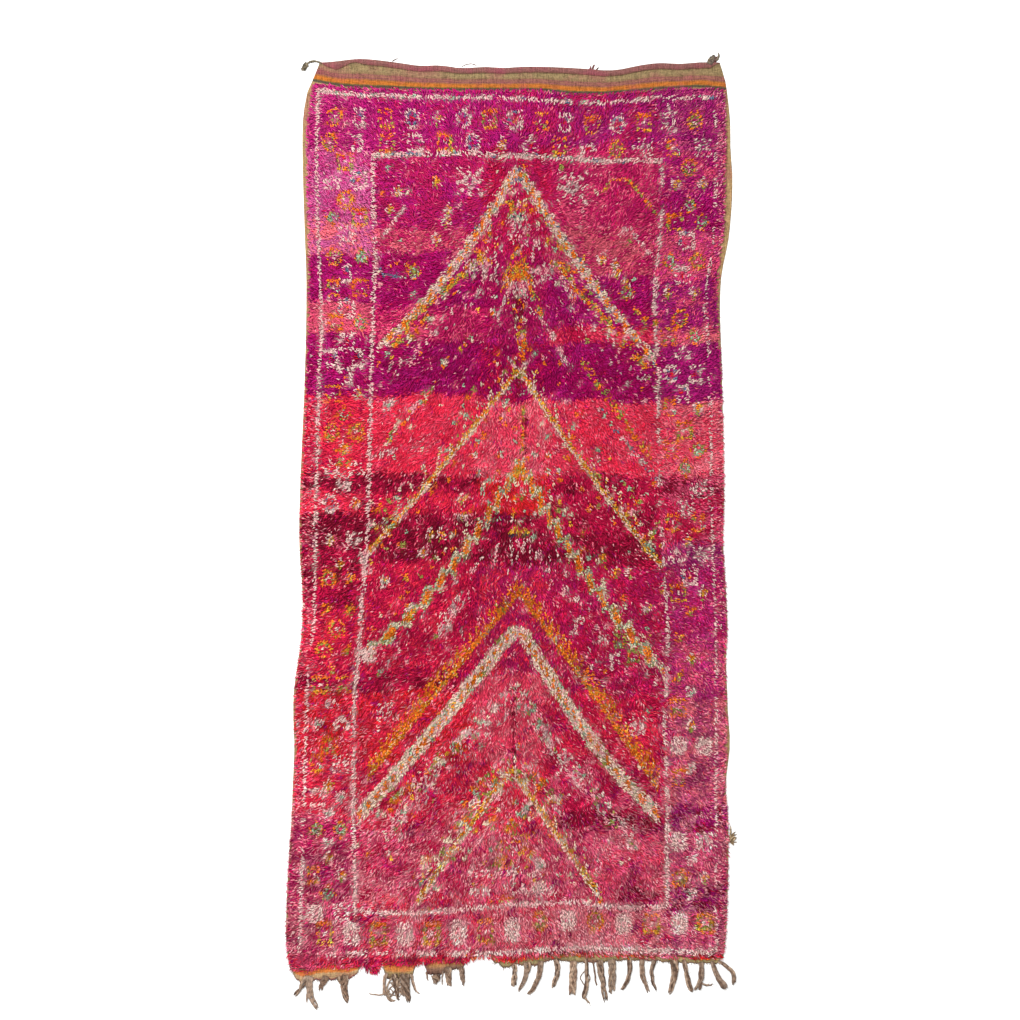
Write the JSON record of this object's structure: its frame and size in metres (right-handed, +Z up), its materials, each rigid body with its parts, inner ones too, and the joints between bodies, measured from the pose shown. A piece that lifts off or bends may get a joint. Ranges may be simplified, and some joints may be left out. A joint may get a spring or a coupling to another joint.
{
  "type": "hand-knotted shag rug",
  "caption": "Long worn wool shag rug that lies flat, with a hemmed flat-woven end, bare selvedges, and felted fringe locks on the worn end.",
  "frame": {"origin": "on the floor under the middle of the rug, on the underside of the woven ground", "axes": "+X across the rug, to the right as it is seen from above with the flat-woven end at the top; +Y along the rug to the flat-woven end; +Z up, out of the pile"},
  "size_m": [2.0864, 4.403, 0.0198],
  "materials": {
    "ground_wool": "flat-woven wool, matte, striped in brown-mauve, khaki, rose, orange and olive at the hemmed end",
    "pile_wool": "long wool shag, matte with a soft sheen, dyed magenta, crimson, plum and rose in bands with cream, orange and green knots",
    "fringe_wool": "felted undyed wool warp, matte",
    "loose_yarn": "frayed undyed and olive wool yarn, matte"
  },
  "bodies": {
    "root": {"ground_cloth": "ground_wool", "pile": "pile_wool", "fringe_left": "fringe_wool", "fringe_tangle": "fringe_wool", "fringe_stubs": "fringe_wool", "fringe_right": "fringe_wool", "corner_tail_left": "loose_yarn", "corner_tail_right": "loose_yarn", "side_tuft": "loose_yarn"}
  },
  "joints": []
}
